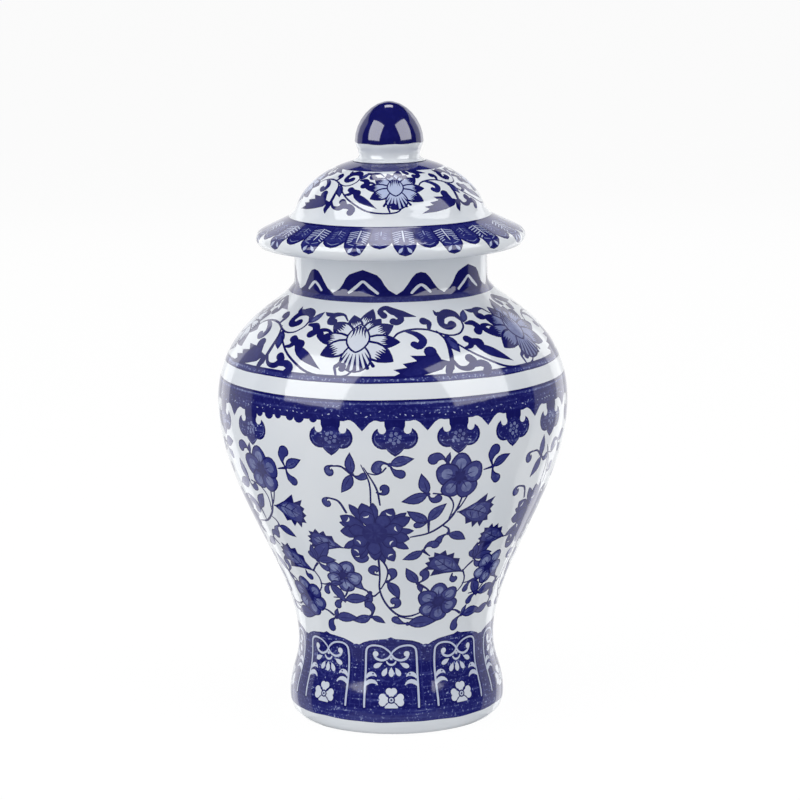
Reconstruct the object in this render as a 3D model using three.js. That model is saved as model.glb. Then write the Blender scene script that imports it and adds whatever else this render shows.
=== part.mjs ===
// A lidded porcelain temple jar (ginger jar): a hollow baluster body, a domed lid with a wide brim
// and an inner locating flange, and a cobalt knob luted onto the crown of the lid.
// Millimetres, +Z up, origin at the centre of the foot's resting plane.
import * as THREE from "three";

// ---------------------------------------------------------------- driving dimensions
const SIDES = 48; // facets round the jar
const JOINT_GAP = 0.3; // gap left between two pieces that touch

// Body heights, from the table up
const RIM_HEIGHT = 192.5;
const NECK_ROOT_HEIGHT = 178;
const BELLY_HEIGHT = 129;
const WAIST_HEIGHT = 31.5;
const FOOT_LIP_HEIGHT = 8.5;
// Body radii, outside
const NECK_RADIUS = 38.4;
const BELLY_RADIUS = 70;
const WAIST_RADIUS = 39.5;
const FOOT_LIP_RADIUS = 43.4;
const FOOT_RING_RADIUS = 37; // outer edge of the resting ring
const FOOT_ROUND_RISE = 0.8; // how high the round under the foot lip starts
// How long each curve keeps its upright direction at its two ends
const FOOT_CURVE = [9.8, 10];
const LOWER_CURVE = [30.2, 35.4];
const SHOULDER_CURVE = [34, 8.6];
// Body thicknesses
const WALL = 4.2;
const FLOOR = 6;
const FOOT_RING_WIDTH = 4.5;
const FOOT_RECESS = 5.5;
const FOOT_RECESS_DRAFT = 1.5; // how much narrower the recess is at its roof
const INNER_FLOOR_FILLET = 9;
const RIM_ROUND = 1.4;

// Lid, with heights above the seat plane, which is the underside that rests on the rim
const DOME_INSET = 0.4; // how far the dome's foot stands inside the neck's outside
const DOME_BASE = 9;
const DOME_HEIGHT = 24.6;
const BRIM_OVERHANG = 15.1; // how far the brim reaches past the neck
const BRIM_LIP_ROUND = 3.4; // radius of the thick rounded lip
const BRIM_DROP = 1.8; // how far the lip hangs below the seat plane
const BRIM_ROOT_FLARE = 2; // how far outside the dome's foot the brim starts
const BRIM_ROOT_RISE = 10.2;
const DOME_START_ANGLE = 8; // degrees round the dome's section where it leaves the brim
const SEAT_CLEARANCE = 6; // bare ring between the rim's outer edge and the lip's inner curve
const LID_WALL = 4;
const FLANGE_CLEARANCE = 1.2;
const FLANGE_WIDTH = 3.6;
const FLANGE_DEPTH = 10;
const BOSS_BLEND = 1; // flat left between the boss under the knob and the dome's inside

// Knob, with heights above its landing on the lid
const KNOB_LANDING_RADIUS = 13.2;
const KNOB_FOOT_INSET = 0.2; // the knob's foot is this much narrower than its landing
const KNOB_WAIST_RADIUS = 11.8;
const KNOB_WAIST_RISE = 2;
const KNOB_BALL_RADIUS = 13.6;
const KNOB_BALL_RISE = 7;
const KNOB_HEIGHT = 22.7;
const COLLAR_CURVE = [2, 2.6]; // upright at the waist and at the ball's side
const KNOB_CURVE = [7.8, 7]; // upright at the ball's side, level at the tip
const SPIGOT_RADIUS = 5.5;
const SPIGOT_DEPTH = 2.2;

// ---------------------------------------------------------------- profile helpers
const point = (radius, height) => new THREE.Vector2(radius, height);

// A cubic curve from one place to another, upright at both ends; bulge holds the two handle lengths.
function uprightCurve(start, end, bulge, steps) {
  const rise = Math.sign(end.y - start.y);
  return new THREE.CubicBezierCurve(
    start,
    point(start.x, start.y + rise * bulge[0]),
    point(end.x, end.y - rise * bulge[1]),
    end,
  ).getPoints(steps);
}

// Points along an arc; angles in degrees, 0 pointing outwards and 90 pointing up.
function arc(centre, radiusX, radiusY, from, to, steps) {
  const path = new THREE.EllipseCurve(
    centre.x,
    centre.y,
    radiusX,
    radiusY,
    THREE.MathUtils.degToRad(from),
    THREE.MathUtils.degToRad(to),
    to < from,
  );
  return path.getPoints(steps);
}

// The same run of points moved to its left by a distance, which is inwards on a run that climbs.
function offset(points, distance) {
  return points.map((p, i) => {
    const before = points[Math.max(i - 1, 0)];
    const after = points[Math.min(i + 1, points.length - 1)];
    const along = after.clone().sub(before).normalize();
    return point(p.x - along.y * distance, p.y + along.x * distance);
  });
}

// The lid is made to the neck it covers.
const domeRadius = NECK_RADIUS - DOME_INSET;
const brimRadius = NECK_RADIUS + BRIM_OVERHANG;
const brimRootRadius = domeRadius + BRIM_ROOT_FLARE;

// The height of the dome's outside above the seat plane, at a radius.
const domeRise = (radius) =>
  DOME_BASE + DOME_HEIGHT * Math.sqrt(1 - (radius / domeRadius) ** 2);

// A solid of revolution about +Z from an outline that starts and ends on the axis and
// runs up the outside.
function turned(name, outline, material) {
  const geometry = new THREE.LatheGeometry(outline, SIDES);
  const mesh = new THREE.Mesh(geometry, material);
  mesh.name = name;
  mesh.rotation.x = Math.PI / 2;
  return mesh;
}

// ---------------------------------------------------------------- materials
const glazedPorcelain = new THREE.MeshStandardMaterial({
  color: 0xe9edf2,
  roughness: 0.08,
  metalness: 0,
});
const cobaltGlaze = new THREE.MeshStandardMaterial({
  color: 0x171a5c,
  roughness: 0.06,
  metalness: 0,
});

// ---------------------------------------------------------------- jar body
function bodyOuterWall() {
  const footLip = point(FOOT_LIP_RADIUS, FOOT_LIP_HEIGHT);
  const waist = point(WAIST_RADIUS, WAIST_HEIGHT);
  const belly = point(BELLY_RADIUS, BELLY_HEIGHT);
  const neckRoot = point(NECK_RADIUS, NECK_ROOT_HEIGHT);
  return [
    ...uprightCurve(footLip, waist, FOOT_CURVE, 4),
    ...uprightCurve(waist, belly, LOWER_CURVE, 9).slice(1),
    ...uprightCurve(belly, neckRoot, SHOULDER_CURVE, 9).slice(1),
  ];
}

function makeBody() {
  const outer = bodyOuterWall();
  const footRound = new THREE.QuadraticBezierCurve(
    point(FOOT_RING_RADIUS, 0),
    point(FOOT_LIP_RADIUS, FOOT_ROUND_RISE),
    point(FOOT_LIP_RADIUS, FOOT_LIP_HEIGHT),
  ).getPoints(4);
  const rimTop = RIM_HEIGHT - RIM_ROUND;
  const innerNeck = NECK_RADIUS - WALL;
  const rim = [
    ...arc(point(NECK_RADIUS - RIM_ROUND, rimTop), RIM_ROUND, RIM_ROUND, 0, 90, 3),
    ...arc(point(innerNeck + RIM_ROUND, rimTop), RIM_ROUND, RIM_ROUND, 90, 180, 3),
  ];
  const floorTop = FOOT_RECESS + FLOOR;
  const innerWall = offset(outer, WALL)
    .filter((p) => p.y > floorTop + INNER_FLOOR_FILLET)
    .reverse();
  const lastInner = innerWall[innerWall.length - 1];
  const innerFloor = new THREE.QuadraticBezierCurve(
    lastInner,
    point(lastInner.x, floorTop),
    point(lastInner.x - INNER_FLOOR_FILLET, floorTop),
  ).getPoints(3);
  const recessRadius = FOOT_RING_RADIUS - FOOT_RING_WIDTH;
  const outline = [
    point(0, FOOT_RECESS),
    point(recessRadius - FOOT_RECESS_DRAFT, FOOT_RECESS),
    point(recessRadius, 0),
    ...footRound,
    ...outer.slice(1),
    ...rim,
    ...innerWall,
    ...innerFloor.slice(1),
    point(0, floorTop),
  ];
  return turned("jar_body", outline, glazedPorcelain);
}

// ---------------------------------------------------------------- lid
function makeLid() {
  const seat = RIM_HEIGHT + JOINT_GAP;
  const flangeOuter = NECK_RADIUS - WALL - FLANGE_CLEARANCE;
  const flangeInner = flangeOuter - FLANGE_WIDTH;
  const flangeFoot = seat - FLANGE_DEPTH;
  const lipCentre = point(
    brimRadius - BRIM_LIP_ROUND,
    seat - BRIM_DROP + BRIM_LIP_ROUND,
  );
  const brimRoot = point(brimRootRadius, seat + BRIM_ROOT_RISE);
  const toLip = lipCentre.clone().sub(brimRoot);
  const reach = toLip.length();
  const tangentAngle =
    90 +
    THREE.MathUtils.radToDeg(
      Math.atan2(toLip.y, toLip.x) + Math.asin(BRIM_LIP_ROUND / reach),
    );
  const lip = arc(lipCentre, BRIM_LIP_ROUND, BRIM_LIP_ROUND, -90, tangentAngle, 8);
  const landingAngle = THREE.MathUtils.radToDeg(
    Math.acos(KNOB_LANDING_RADIUS / domeRadius),
  );
  const domeCentre = point(0, seat + DOME_BASE);
  const dome = arc(domeCentre, domeRadius, DOME_HEIGHT, DOME_START_ANGLE, landingAngle, 7);
  const landing = seat + domeRise(KNOB_LANDING_RADIUS);
  const socketFloor = landing - SPIGOT_DEPTH - JOINT_GAP;
  const socketRadius = SPIGOT_RADIUS + JOINT_GAP;
  const bossRadius = socketRadius + LID_WALL;
  const bossFoot = socketFloor - LID_WALL;
  const underDome = arc(
    domeCentre,
    domeRadius - LID_WALL,
    DOME_HEIGHT - LID_WALL,
    90,
    0,
    9,
  ).filter((p) => p.x > bossRadius + BOSS_BLEND);
  const outline = [
    point(0, bossFoot),
    point(bossRadius, bossFoot),
    ...underDome,
    point(flangeInner, seat + LID_WALL),
    point(flangeInner, flangeFoot),
    point(flangeOuter, flangeFoot),
    point(flangeOuter, seat),
    point(NECK_RADIUS + SEAT_CLEARANCE, seat),
    ...lip,
    brimRoot,
    ...dome,
    point(socketRadius, landing),
    point(socketRadius, socketFloor),
    point(0, socketFloor),
  ];
  return turned("lid_cover", outline, glazedPorcelain);
}

// ---------------------------------------------------------------- knob
function makeKnob() {
  const foot = RIM_HEIGHT + JOINT_GAP + domeRise(KNOB_LANDING_RADIUS) + JOINT_GAP;
  const waist = point(KNOB_WAIST_RADIUS, foot + KNOB_WAIST_RISE);
  const ball = point(KNOB_BALL_RADIUS, foot + KNOB_BALL_RISE);
  const tip = point(0, foot + KNOB_HEIGHT);
  const collar = uprightCurve(waist, ball, COLLAR_CURVE, 4);
  const crown = new THREE.CubicBezierCurve(
    ball,
    point(ball.x, ball.y + KNOB_CURVE[0]),
    point(KNOB_CURVE[1], tip.y),
    tip,
  ).getPoints(8);
  const outline = [
    point(0, foot - SPIGOT_DEPTH),
    point(SPIGOT_RADIUS, foot - SPIGOT_DEPTH),
    point(SPIGOT_RADIUS, foot),
    point(KNOB_LANDING_RADIUS - KNOB_FOOT_INSET, foot),
    ...collar,
    ...crown.slice(1),
  ];
  return turned("lid_knob", outline, cobaltGlaze);
}

// ---------------------------------------------------------------- assembly
const jar = new THREE.Group();
const lid = new THREE.Group();
lid.add(makeLid(), makeKnob());
jar.add(makeBody(), lid);

export default jar;
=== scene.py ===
"""Lidded porcelain temple jar: a painted and glazed baluster body, its lid and its cobalt knob.

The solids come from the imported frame. The glazed surfaces are made here as fine surfaces of revolution,
and the blue underglaze painting is laid into them as real regions of the surface, so its edges stay crisp.
"""

import bpy
import numpy as np
from bpy.props import FloatProperty, FloatVectorProperty, PointerProperty
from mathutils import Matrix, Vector
from mathutils.geometry import delaunay_2d_cdt
from mathutils.kdtree import KDTree


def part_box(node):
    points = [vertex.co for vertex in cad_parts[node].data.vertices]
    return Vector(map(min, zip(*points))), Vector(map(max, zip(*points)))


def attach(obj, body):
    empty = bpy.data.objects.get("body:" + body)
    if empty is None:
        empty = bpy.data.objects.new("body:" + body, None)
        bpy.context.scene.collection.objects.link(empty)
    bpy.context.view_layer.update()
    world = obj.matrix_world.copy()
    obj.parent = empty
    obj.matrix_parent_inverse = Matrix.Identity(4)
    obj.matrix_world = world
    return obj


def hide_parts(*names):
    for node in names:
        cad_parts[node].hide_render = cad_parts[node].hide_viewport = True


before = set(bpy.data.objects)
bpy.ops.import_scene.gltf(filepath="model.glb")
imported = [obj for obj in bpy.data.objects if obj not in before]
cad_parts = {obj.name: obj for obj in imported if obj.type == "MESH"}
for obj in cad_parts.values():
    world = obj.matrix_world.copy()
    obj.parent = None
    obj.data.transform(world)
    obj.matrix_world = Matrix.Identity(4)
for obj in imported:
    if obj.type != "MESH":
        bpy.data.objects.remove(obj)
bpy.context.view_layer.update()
BODY_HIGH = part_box("jar_body")[1]
KNOB_LOW, KNOB_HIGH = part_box("lid_knob")

bl_info = {
    "name": "Painted Temple Jar",
    "version": (1, 0, 0),
    "blender": (4, 5, 0),
    "location": "View3D > Sidebar > Temple Jar",
    "description": "Builds a lidded porcelain jar with cobalt underglaze painting",
    "category": "Add Mesh",
}

MM = 0.001
COLUMNS = 120  # upright rows of surface points round the jar
ROW_PITCH = 3.0  # mm between rings of surface points on a painted wall

# How dense the cobalt lies, from bare glaze to the full outline
BARE, WASH, FILL, DEEP, LINE = 0.0, 0.38, 0.57, 0.84, 1.0


# ---------------------------------------------------------------- sizes and colours
def hex_colour(code):
    """A colour written as sRGB hex, turned to linear light, with alpha."""
    shown = np.array([int(code[i : i + 2], 16) / 255 for i in (1, 3, 5)])
    linear = np.where(shown <= 0.04045, shown / 12.92, ((shown + 0.055) / 1.055) ** 2.4)
    return (*linear.tolist(), 1.0)


def distance(name, description, default):
    """A length setting, in metres."""
    return FloatProperty(name=name, description=description, default=default, subtype="DISTANCE")


class JarSizes(bpy.types.PropertyGroup):
    """Sizes of the body that its outline is drawn from"""

    rim_height: distance("Rim Height", "Top of the rim above the table", BODY_HIGH.z)
    belly_radius: distance("Belly Radius", "Outside radius at the widest ring", BODY_HIGH.x)
    belly_height: distance("Belly Height", "Height of the widest ring", 0.129)
    neck_radius: distance("Neck Radius", "Outside radius of the upright neck", 0.0384)
    neck_root: distance("Neck Root", "Height where the shoulder turns up into the neck", 0.178)
    waist_radius: distance("Waist Radius", "Outside radius above the foot", 0.0395)
    waist_height: distance("Waist Height", "Height of the narrowest ring", 0.0315)
    foot_radius: distance("Foot Radius", "Outside radius of the foot's lip", 0.0434)
    foot_height: distance("Foot Height", "Height of the foot's widest ring", 0.0085)
    ring_radius: distance("Resting Ring Radius", "Outer edge of the ring it stands on", 0.037)
    wall: distance("Wall", "Thickness of the cast wall", 0.0042)
    floor: distance("Floor", "Thickness of the floor", 0.006)
    recess: distance("Foot Recess", "Depth of the hollow under the foot", 0.0055)


class LidSizes(bpy.types.PropertyGroup):
    """Sizes of the lid and its knob"""

    seat: distance("Seat Height", "Height of the underside that rests on the rim", BODY_HIGH.z + 0.0003)
    brim_radius: distance("Brim Radius", "Outside radius of the rounded lip", 0.0535)
    dome_radius: distance("Dome Radius", "Outside radius at the foot of the dome", 0.038)
    dome_height: distance("Dome Height", "Height of the full dome above its foot", 0.0246)
    knob_radius: distance("Knob Radius", "Widest radius of the knob", KNOB_HIGH.x)


class GlazeColours(bpy.types.PropertyGroup):
    """Colours of the fired surfaces, as they look in daylight"""

    ground: FloatVectorProperty(
        name="Glaze", description="Clear glaze over the white clay", subtype="COLOR",
        default=hex_colour("#e1e5ea")[:3],
    )
    cobalt_line: FloatVectorProperty(
        name="Cobalt Line", description="The densest painted line", subtype="COLOR",
        default=hex_colour("#17185e")[:3],
    )
    cobalt_wash: FloatVectorProperty(
        name="Cobalt Wash", description="The thinner blue that fills petals and leaves", subtype="COLOR",
        default=hex_colour("#373c80")[:3],
    )
    biscuit: FloatVectorProperty(
        name="Biscuit", description="Bare fired clay on the resting surfaces", subtype="COLOR",
        default=hex_colour("#dbd6cc")[:3],
    )


# ---------------------------------------------------------------- outlines of revolution, in mm
def bezier(a, b, c, d, steps):
    """Points of a cubic curve as complex numbers, radius + height * 1j."""
    t = np.linspace(0, 1, steps + 1)
    return a * (1 - t) ** 3 + 3 * b * t * (1 - t) ** 2 + 3 * c * t**2 * (1 - t) + d * t**3


def quadratic(a, b, c, steps):
    """Points of a curve that leaves a towards b and comes to c from it."""
    t = np.linspace(0, 1, steps + 1)
    return a * (1 - t) ** 2 + 2 * b * t * (1 - t) + c * t**2


def upright(a, d, bulge, steps):
    """A cubic curve that is upright at both ends; bulge holds its two handle lengths."""
    way = 1j * np.sign(d.imag - a.imag)
    return bezier(a, a + way * bulge[0], d - way * bulge[1], d, steps)


def arc(centre, radius, start, end, steps, squash=1.0):
    """Points of an arc in degrees, 0 pointing outwards and 90 pointing up."""
    angle = np.radians(np.linspace(start, end, steps + 1))
    return centre + radius * (np.cos(angle) + 1j * squash * np.sin(angle))


def run(*stretches):
    """Joins stretches of outline, leaving out a point that repeats the one before it."""
    points = np.concatenate([np.atleast_1d(np.asarray(s, complex)) for s in stretches])
    keep = np.concatenate([[True], np.abs(np.diff(points)) > 1e-4])
    return points[keep]


def corner_round(points, radius, steps=4):
    """Rounds every corner of a short run of straight lines, leaving its two ends."""
    out = [points[:1]]
    for before, at, after in zip(points, points[1:], points[2:]):
        reach = min(radius, 0.45 * abs(at - before), 0.45 * abs(after - at))
        a = at + reach * (before - at) / abs(before - at)
        b = at + reach * (after - at) / abs(after - at)
        out.append(quadratic(a, at, b, steps))
    out.append(points[-1:])
    return np.concatenate(out)


class Wall:
    """A stretch of outline that is painted: places on it are (angle, length up the outline) in mm."""

    def __init__(self, points):
        self.points = points
        self.length = np.concatenate([[0], np.cumsum(np.abs(np.diff(points)))])

    def up(self, height):
        """Length up the outline at a height."""
        return float(np.interp(height, self.points.imag, self.length))

    def radius(self, length):
        """Distance from the jar's axis at a length up the outline."""
        return np.interp(length, self.length, self.points.real)

    def height(self, length):
        """Height at a length up the outline."""
        return np.interp(length, self.length, self.points.imag)

    @property
    def reach(self):
        """The whole length of the outline."""
        return float(self.length[-1])


# ---------------------------------------------------------------- brush strokes, in mm, as complex outlines
def smooth(points, steps):
    """A curve through a few chosen points."""
    p = np.asarray(points, complex)
    p = np.concatenate([[2 * p[0] - p[1]], p, [2 * p[-1] - p[-2]]])
    t = np.linspace(0, 1, steps, endpoint=False)
    out = []
    for a, b, c, d in zip(p, p[1:], p[2:], p[3:]):
        out.append(
            0.5 * (2 * b + (c - a) * t + (2 * a - 5 * b + 4 * c - d) * t**2 + (3 * b - a - 3 * c + d) * t**3)
        )
    return np.concatenate(out + [p[-2:-1]])


def ribbon(line, widths):
    """The outline of a brush stroke along a line, with round ends where it is not drawn to a point."""
    line = np.asarray(line, complex)
    along = np.gradient(line)
    along /= np.abs(along)
    half = np.interp(np.linspace(0, 1, len(line)), np.linspace(0, 1, len(widths)), widths) / 2
    right = line - 1j * along * half
    left = line + 1j * along * half
    fan = np.exp(1j * np.radians([-60, -30, 0, 30, 60]))
    end = line[-1] + half[-1] * along[-1] * fan if half[-1] > 0.2 else line[-1:]
    start = line[0] - half[0] * along[0] * fan if half[0] > 0.2 else line[:1]
    return np.concatenate([right, end, left[::-1], start])


def hook(length, turn, tighten=1.6, steps=12):
    """A line that starts along +x and winds up tighter as it goes; turn is in degrees."""
    t = np.linspace(0, 1, steps + 1)
    heading = np.radians(turn) * t**tighten
    step = length / steps * np.exp(0.5j * (heading[1:] + heading[:-1]))
    return np.concatenate([[0], np.cumsum(step)])


def petal(length, width, swell=1.0, point=0.8, steps=9):
    """A petal from its root at 0 to its tip along +x. A low point makes a round tip."""
    t = 0.5 - 0.5 * np.cos(np.linspace(0, np.pi, steps + 1))
    half = width / 2 * np.sin(np.pi * t**swell) ** point
    upper = (t * length + 1j * half)[-2:0:-1]
    return np.concatenate([t * length - 1j * half, upper])


def disc(radius, steps=14):
    """A round spot about 0."""
    return radius * np.exp(2j * np.pi * np.arange(steps) / steps)


def inset(points, depth):
    """The same outline drawn a little inside itself."""
    if area(points) < 0:
        points = points[::-1]
    before, after = np.roll(points, 1), np.roll(points, -1)
    into = 1j * (after - before)
    moved = points + depth * into / np.maximum(np.abs(into), 1e-9)
    edge = after - points
    gap = moved[:, None] - points[None, :]
    share = np.clip((gap * edge.conj()[None, :]).real / np.maximum(np.abs(edge) ** 2, 1e-9), 0, 1)
    clear = np.abs(gap - share * edge[None, :]).min(1)
    kept = moved[clear > 0.86 * depth]
    return kept if len(kept) > 2 else None


def area(points):
    """The area inside an outline, below 0 when it runs clockwise."""
    return 0.5 * float(np.sum((points.conj() * np.roll(points, -1)).imag))


def inked(points, line=0.55, fill=FILL, core=None):
    """A shape with a dark outline, a blue fill and, if it is asked for, a paler or deeper core."""
    layers = [(LINE, points)]
    for ink, depth in ((fill, line), (core, 2.6 * line)):
        inner = inset(points, depth) if ink is not None else None
        if inner is not None:
            layers.append((ink, inner))
    return layers


def moved(motif, shift=0, turn=0, size=1, flip=False):
    """A motif, which is a list of (ink, outline), turned in degrees, sized, mirrored and moved."""
    spin = size * np.exp(1j * np.radians(turn))
    return [(ink, spin * (points.conj() if flip else points) + shift) for ink, points in motif]


def edged(points, depth, ink, edge=LINE):
    """A shape with its edge in one blue and its inside in another."""
    return [(edge, points), (ink, inset(points, depth))]


def tick(start, end, widths):
    """A short straight brush line."""
    return ribbon(np.array([start, 0.5 * (start + end), end]), widths)


# ---------------------------------------------------------------- motifs of the scroll painting
def ball(length=5.0, turn=150, head=3.6, fill=FILL):
    """A tendril that curls up into a round head."""
    line = hook(length, turn)
    return inked(ribbon(line, [0.7, 1.1, 0.76 * head, head]), 0.5, fill)


def blade(length=8.0, width=3.4, fill=FILL):
    """A plain pointed leaf with a vein."""
    body = petal(length, width, 0.8, 1.0)
    body = body + 0.1j * width * np.sin(np.pi * body.real / length)
    vein = (LINE, ribbon(np.array([0.2, 0.45, 0.7]) * length + 0j, [0.3, 0.3, 0.1]))
    return inked(body, 0.5, fill) + [vein]


def sprig(*arms):
    """What springs from one point: (angle, length) is a leaf, (angle, length, turn) a curled head."""
    out = []
    for angle, length, *turn in arms:
        reach = 1.14 * length
        piece = ball(reach, turn[0], 0.64 * reach) if turn else blade(reach, 0.46 * reach)
        out += moved(piece, 0, angle)
    return out + [(DEEP, disc(0.95, 8))]


def jagged_leaf(length, width, fill=FILL):
    """A fan-shaped leaf, broadest at its far end, cut into sharp points, with a curving vein."""
    edge = np.array([
        0, 0.2 + 0.14j, 0.44 + 0.34j, 0.72 + 0.66j, 0.74 + 0.36j, 1.0 + 0.54j, 0.93 + 0.30j, 1.04 + 0.22j,
        0.97 + 0.08j, 1.06 - 0.04j, 0.96 - 0.16j, 1.02 - 0.34j, 0.88 - 0.36j, 0.82 - 0.58j, 0.70 - 0.40j,
        0.58 - 0.60j, 0.50 - 0.38j, 0.34 - 0.46j, 0.26 - 0.2j, 0.1 - 0.07j,
    ])
    outline = length * edge.real + 1j * width * edge.imag
    layers = inked(outline, 0.5, fill)
    cheek = petal(0.62 * length, 0.5 * width, 1.0, 0.7, 7) + 0.24 * length
    layers.append((fill - 0.1, cheek))
    vein = smooth([0, 0.36 * length + 0.08j * width, 0.94 * length - 0.12j * width], 5)
    layers.append((LINE, ribbon(vein, [0.7, 0.5, 0.25])))
    side_veins = ((0.38 + 0.06j, 0.66 + 0.42j), (0.6, 0.84 + 0.26j), (0.36, 0.5 - 0.32j), (0.6, 0.74 - 0.3j))
    for start, end in side_veins:
        a, b = (length * p.real + 1j * width * p.imag for p in (complex(start), complex(end)))
        layers.append((LINE, tick(a, b, [0.4, 0.35, 0.12])))
    return layers


def bloom(petals, radius, breadth=0.46, fill=FILL, turn=90):
    """A small open flower of round wavy petals, each with a paler cheek, round a dark heart."""
    out = []
    for k in range(petals):
        angle = 2 * np.pi * np.arange(18) / 18
        wavy = breadth * radius * (1 + 0.07 * np.cos(3 * angle + k)) * np.exp(1j * angle)
        body = 0.56 * radius + wavy * (1 + 0.08 * np.sin(2.3 * k))
        cheek = 0.58 * radius + 0.5 * breadth * radius * np.exp(1j * angle[::2])
        rib = (DEEP, ribbon(np.array([0.2, 0.45, 0.66]) * radius + 0j, [0.6, 0.4, 0.1]))
        piece = inked(body, 0.6, fill) + [(fill - 0.14, cheek), rib]
        out += moved(piece, 0, turn + 360 * k / petals)
    dart = [(LINE, petal(0.36 * radius, 0.2 * radius, 1.0, 1.0, 5))]
    for k in range(petals):
        out += moved(dart, 0, turn + 360 * (k + 0.5) / petals)
    return out + [(DEEP, disc(0.18 * radius, 10))]


def great_bloom(radius):
    """The large dark flower: three rows of pointed petals round a deep heart, some with a pale curl."""
    out = []
    rows = (  # how many petals, their reach and breadth, first angle, ink, and how much their length strays
        (9, 1.04, 0.26, 4, 0.72, 0.06),
        (9, 1.0, 0.40, 24, 0.72, 0.08),
        (7, 0.74, 0.42, 10, 0.68, 0.05),
    )
    for row, (count, reach, width, start, fill, stray) in enumerate(rows):
        for k in range(count):
            stretch = 1 + stray * np.sin(2.7 * k + row)
            length = reach * radius * stretch
            body = petal(length, width * radius, 1.9, 0.85, 9)
            piece = inked(body, 0.45, fill, fill - 0.06)
            if row and k % 2 == row % 2:
                curl = arc(0.86 * length, 1.6, 130, 230, 5)
                piece.append((BARE, ribbon(curl, [0.1, 0.75, 0.1])))
            out += moved(piece, 0, start + 360 * k / count + 6 * np.sin(4.1 * k + row))
    heart = [(0.78, disc(0.34 * radius, 16))]
    for k in range(8):
        fleck = petal(0.22 * radius, 0.07 * radius, 1.0, 1.0, 4)
        heart += moved([(0.7, fleck)], 0.05 * radius * np.exp(2j * np.pi * k / 8), 45 * k)
    return out + heart


def veined_petal(length, width, wash, tip, heavy):
    """An open petal: a dark line round its colour and brush lines drawn in from a dark tip."""
    swell, point = 1.15, 0.85
    body = petal(length, width, swell, point, 9)
    out = edged(body, 0.8 * heavy, wash)
    cap = body[body.real > (0.94 - 0.14 * heavy) * length]
    if len(cap) > 2:
        out.append((tip, cap))
    for spread in (-0.8, -0.4, 0, 0.4, 0.8):
        near = 0.87 - 0.14 * spread**2
        start = length * near + 0.42j * width * spread * np.sin(np.pi * near**swell) ** point
        end = length * (0.54 + 0.08 * abs(spread)) + 0.3j * width * spread
        out.append((LINE, tick(start, end, heavy * np.array([1.3, 0.75, 0.15]))))
    return out


def lotus(wash, tip, heavy):
    """A lotus seen from the side: open petals round an upright centre petal."""
    out = []
    for angle, length, width in (
        (76, 16.6, 7.6), (110, 13.4, 7.4), (52, 13.8, 7.4), (147, 15.0, 8.0), (28, 15.8, 8.2),
        (180, 17.0, 7.0), (-4, 16.4, 7.2), (211, 15.2, 8.2), (-36, 16.8, 8.4),
    ):
        out += moved(veined_petal(length, width, wash, tip, heavy), 0, angle)
    skirt = petal(14.5, 11.5, 1.5, 0.5, 10)
    out += moved(edged(skirt, 0.7, wash), 0, -88)
    for angle in (-116, -107, -98, -88, -78, -69, -60):
        end = 13.4 * np.exp(1j * np.radians(angle))
        out.append((LINE, ribbon(np.array([end, 0.75 * end, 0.5 * end]), [1.3, 0.75, 0.15])))
    centre = petal(14.4, 9.8, 0.92, 0.72, 11)
    out += moved(edged(centre, 0.75, wash), -6.2j, 90)
    for shift in (-2.6, -1.3, 0, 1.3, 2.6):
        top = shift * 0.9 + 1j * (6.6 - 0.5 * abs(shift) ** 1.3)
        line = np.array([top, top - 2.0j, 1.15 * shift + 1j * (top.imag - 4.4)])
        out.append((LINE, ribbon(line, [1.2, 0.6, 0.12])))
    return out


# ---------------------------------------------------------------- a painted wall
def evened(points, stretch=2.6, slack=0.075):
    """The same outline with nearly straight runs thinned out and long stretches split."""
    for _ in range(5):
        if len(points) < 8:
            break
        before, after = np.roll(points, 1), np.roll(points, -1)
        chord = after - before
        bow = np.abs(((points - before) * chord.conj()).imag) / np.maximum(np.abs(chord), 1e-9)
        drop = (bow < slack) & (np.abs(chord) < stretch)
        drop[1::2] = False
        points = np.roll(points[~drop], 1)
    out = []
    for a, b in zip(points, np.roll(points, -1)):
        parts = int(np.ceil(abs(b - a) / stretch))
        out.append(a + (b - a) * np.arange(max(parts, 1)) / max(parts, 1))
    return np.concatenate(out)


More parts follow.
